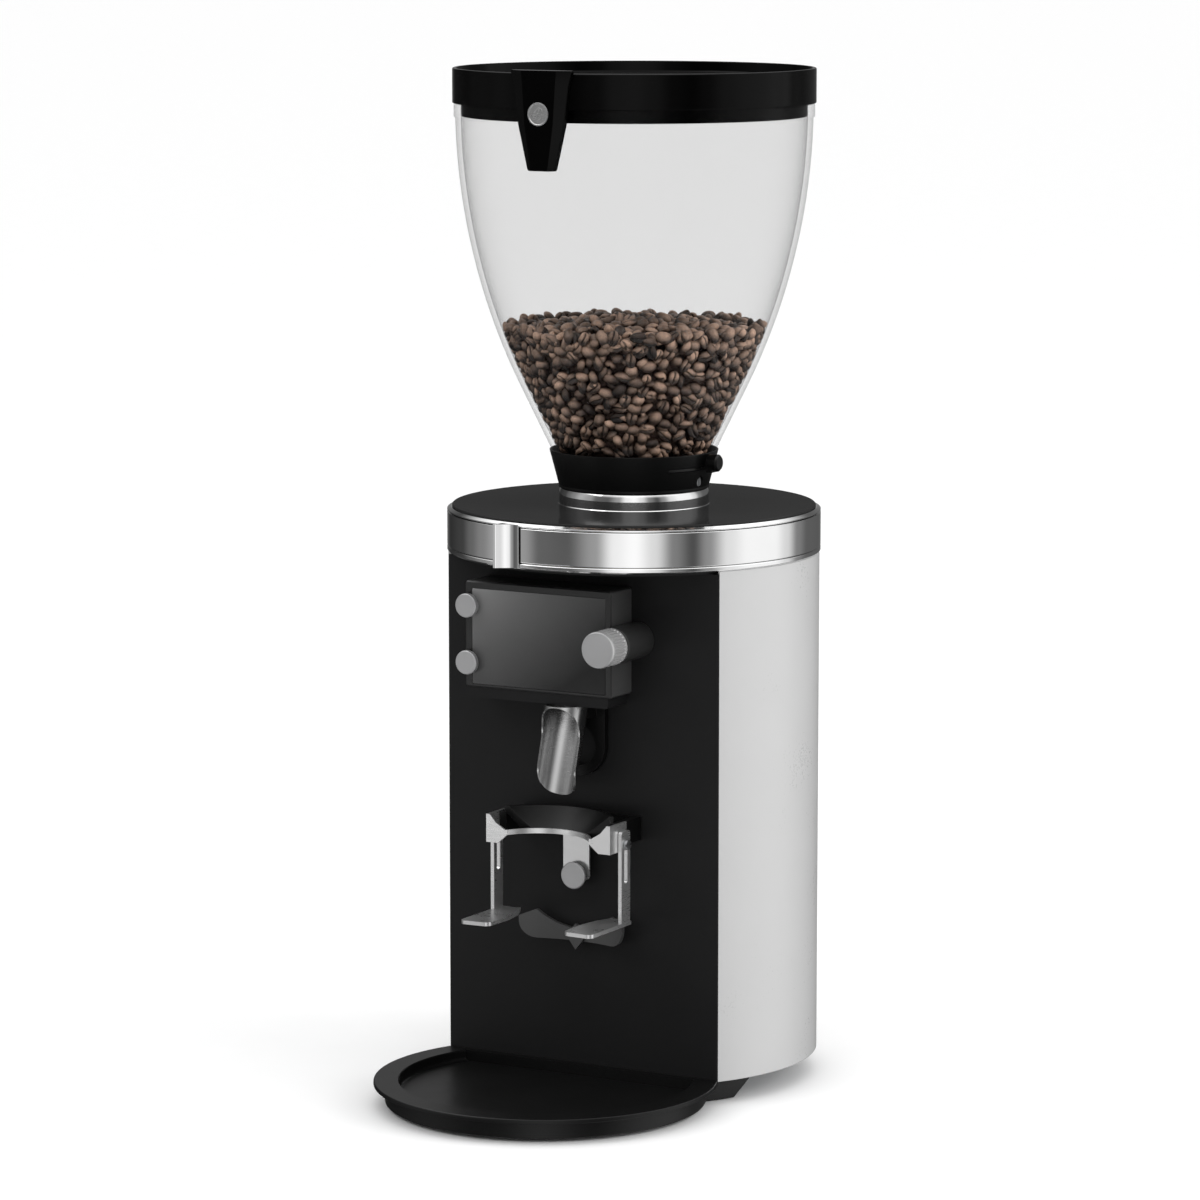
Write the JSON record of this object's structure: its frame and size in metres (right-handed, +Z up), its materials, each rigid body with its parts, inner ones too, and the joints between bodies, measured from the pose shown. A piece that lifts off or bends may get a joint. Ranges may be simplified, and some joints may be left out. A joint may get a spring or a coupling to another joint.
{
  "type": "burr coffee grinder",
  "caption": "Upright burr coffee grinder with a clear bean hopper, grind adjustment ring, display, spout, portafilter fork and grounds tray.",
  "frame": {"origin": "centre of the part's footprint box, on the floor under the feet", "axes": "+Z up the column; the display, fork and tray face -Y; +X to the right of someone facing the display"},
  "size_m": [0.24, 0.343, 0.6508],
  "materials": {
    "white_paint": "satin powder coat",
    "black_panel": "fine matt powder coat",
    "dark_plate": "satin lacquer",
    "polished_steel": "polished",
    "satin_steel": "satin",
    "knob_aluminium": "fine satin",
    "black_plastic": "fine matt",
    "gloss_black": "gloss",
    "clear_plastic": "clear moulded",
    "screen": "gloss",
    "coffee_beans": "roasted, slight sheen",
    "rubber": "matt",
    "frame_steel": "zinc plated",
    "cast_alloy": "as cast",
    "burr_steel": "ground",
    "windings": "lacquered copper",
    "brass_part": "machined",
    "board_green": "solder mask",
    "rocker_red": "gloss"
  },
  "bodies": {
    "column": {"rubber_feet": "rubber", "base_plate": "frame_steel", "chassis_frame": "frame_steel", "deck_plate": "black_panel", "front_panel": "black_panel", "rear_housing": "white_paint", "lower_trim_ring": "polished_steel", "top_bezel": "polished_steel", "top_plate": "dark_plate", "hopper_collar": "polished_steel", "motor_stator": "windings", "lower_end_bell": "cast_alloy", "upper_end_bell": "cast_alloy", "motor_bearings": "frame_steel", "grinding_chamber": "cast_alloy", "outlet_duct": "black_plastic", "display_housing": "black_plastic", "display_glass": "screen", "display_board": "board_green", "knob_boss": "black_plastic", "selector_encoder": "black_plastic", "outlet_boss": "black_plastic", "coffee_spout": "satin_steel", "coffee_funnel": "black_plastic", "holder_bracket": "satin_steel", "bracket_screws": "frame_steel", "start_switch_plate": "satin_steel", "start_microswitch": "black_plastic", "holder_cradle": "black_plastic", "control_board": "board_green", "inlet_plate": "white_paint", "power_inlet": "black_plastic"},
    "hopper": {"hopper_shell": "clear_plastic", "hopper_neck": "black_plastic", "hopper_lock_screw": "frame_steel", "bean_charge": "coffee_beans"},
    "lid": {"hopper_lid": "gloss_black", "lid_clip": "gloss_black", "lid_badge": "satin_steel"},
    "shutter": {"shutter_plate": "black_plastic", "shutter_knob": "black_plastic"},
    "grind_ring": {"adjustment_ring": "polished_steel"},
    "burr_holder": {"upper_burr_carrier": "brass_part", "upper_burr": "burr_steel", "upper_burr_screws": "frame_steel"},
    "rotor": {"drive_shaft": "frame_steel", "motor_rotor": "burr_steel", "cooling_fan": "black_plastic", "lower_burr_carrier": "cast_alloy", "lower_burr": "burr_steel", "lower_burr_screws": "frame_steel"},
    "encoder": {"encoder_shaft": "frame_steel"},
    "knob": {"selector_knob": "knob_aluminium"},
    "menu_upper": {"menu_button_upper": "knob_aluminium"},
    "menu_lower": {"menu_button_lower": "knob_aluminium"},
    "start": {"start_button": "knob_aluminium"},
    "fork_left": {"fork_arm_left": "satin_steel"},
    "fork_right": {"fork_arm_right": "satin_steel"},
    "tray": {"grounds_tray": "black_plastic"},
    "rocker": {"power_rocker": "rocker_red"}
  },
  "joints": [
    {"name": "hopper_lift", "type": "slide", "parent": "column", "child": "hopper", "axis": [0, 0, 1], "range_m": [0, 0.06]},
    {"name": "lid_lift", "type": "slide", "parent": "hopper", "child": "lid", "axis": [0, 0, 1], "range_m": [0, 0.06]},
    {"name": "shutter_slide", "type": "slide", "parent": "hopper", "child": "shutter", "axis": [1, 0, 0], "range_m": [0, 0.05]},
    {"name": "ring_turn", "type": "hinge", "parent": "column", "child": "grind_ring", "pos_m": [0, 0.05155, 0.355], "axis": [0, 0, 1], "range_deg": [-45, 45]},
    {"name": "carrier_lift", "type": "slide", "parent": "grind_ring", "child": "burr_holder", "axis": [0, 0, 1], "range_m": [-0.00019, 0.00019]},
    {"name": "rotor_spin", "type": "hinge", "parent": "column", "child": "rotor", "pos_m": [0, 0.05155, 0.2], "axis": [0, 0, 1], "continuous": true},
    {"name": "knob_push", "type": "slide", "parent": "column", "child": "encoder", "axis": [0, 1, 0], "range_m": [0, 0.001], "stiffness_N_per_m": 2500, "springref_m": -0.0004},
    {"name": "knob_turn", "type": "hinge", "parent": "encoder", "child": "knob", "pos_m": [0.0409, -0.05845, 0.2936], "axis": [0, 1, 0], "continuous": true},
    {"name": "menu_upper_push", "type": "slide", "parent": "column", "child": "menu_upper", "axis": [0, 1, 0], "range_m": [0, 0.0015], "stiffness_N_per_m": 1500, "springref_m": -0.0005},
    {"name": "menu_lower_push", "type": "slide", "parent": "column", "child": "menu_lower", "axis": [0, 1, 0], "range_m": [0, 0.0015], "stiffness_N_per_m": 1500, "springref_m": -0.0005},
    {"name": "start_push", "type": "slide", "parent": "column", "child": "start", "axis": [0, 1, 0], "range_m": [0, 0.003], "stiffness_N_per_m": 900, "springref_m": -0.001},
    {"name": "fork_left_height", "type": "slide", "parent": "column", "child": "fork_left", "axis": [0, 0, 1], "range_m": [0, 0.018]},
    {"name": "fork_right_height", "type": "slide", "parent": "column", "child": "fork_right", "axis": [0, 0, 1], "range_m": [0, 0.018]},
    {"name": "tray_pull", "type": "slide", "parent": "column", "child": "tray", "axis": [0, -1, 0], "range_m": [0, 0.12]},
    {"name": "rocker_tilt", "type": "hinge", "parent": "column", "child": "rocker", "pos_m": [0.019, 0.15655, 0.0555], "axis": [1, 0, 0], "range_deg": [0, 14]}
  ],
  "couplings": [
    {"joint": "carrier_lift", "follows": "ring_turn", "m_per_rad": 0.00023873},
    {"joint": "fork_right_height", "follows": "fork_left_height", "ratio": 1}
  ]
}
